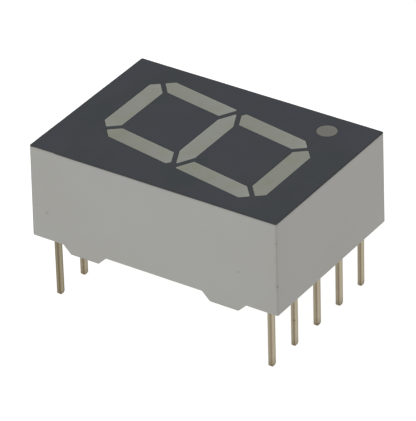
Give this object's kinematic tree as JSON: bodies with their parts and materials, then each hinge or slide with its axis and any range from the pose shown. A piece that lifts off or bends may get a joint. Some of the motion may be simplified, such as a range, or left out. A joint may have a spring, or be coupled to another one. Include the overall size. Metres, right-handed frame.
{
  "type": "seven segment display",
  "caption": "Seven segment LED display for a circuit board: a slanted digit and decimal point in a dark face on a light grey housing, with rows of straight flat leads.",
  "frame": {"origin": "middle of the lead pattern, on the plane that the four feet stand on, which is the top of the circuit board", "axes": "+X is the digit's right, +Y is the digit's top and +Z points out of the viewing face"},
  "size_m": [0.0122, 0.0176, 0.0107],
  "materials": {
    "housing_plastic": "satin light grey moulding",
    "face_ink": "matt dark slate print",
    "segment_resin": "satin milky diffusing resin, unlit",
    "back_resin": "glossy cast resin",
    "lead_metal": "pale satin plating",
    "die_crystal": "cleaved crystal",
    "wire_metal": "bright gold wire"
  },
  "bodies": {
    "root": {"housing": "housing_plastic", "face_print": "face_ink", "back_fill": "back_resin", "decimal_point": "segment_resin", "lead_common": "lead_metal", "segment_a": "segment_resin", "segment_b": "segment_resin", "segment_c": "segment_resin", "segment_d": "segment_resin", "segment_e": "segment_resin", "segment_f": "segment_resin", "segment_g": "segment_resin", "lead_a": "lead_metal", "lead_b": "lead_metal", "lead_c": "lead_metal", "lead_d": "lead_metal", "lead_e": "lead_metal", "lead_f": "lead_metal", "lead_g": "lead_metal", "lead_dp": "lead_metal", "die_a": "die_crystal", "die_b": "die_crystal", "die_c": "die_crystal", "die_d": "die_crystal", "die_e": "die_crystal", "die_f": "die_crystal", "die_g": "die_crystal", "die_dp": "die_crystal", "wire_a": "wire_metal", "wire_b": "wire_metal", "wire_c": "wire_metal", "wire_d": "wire_metal", "wire_e": "wire_metal", "wire_f": "wire_metal", "wire_g": "wire_metal", "wire_dp": "wire_metal"}
  },
  "joints": []
}
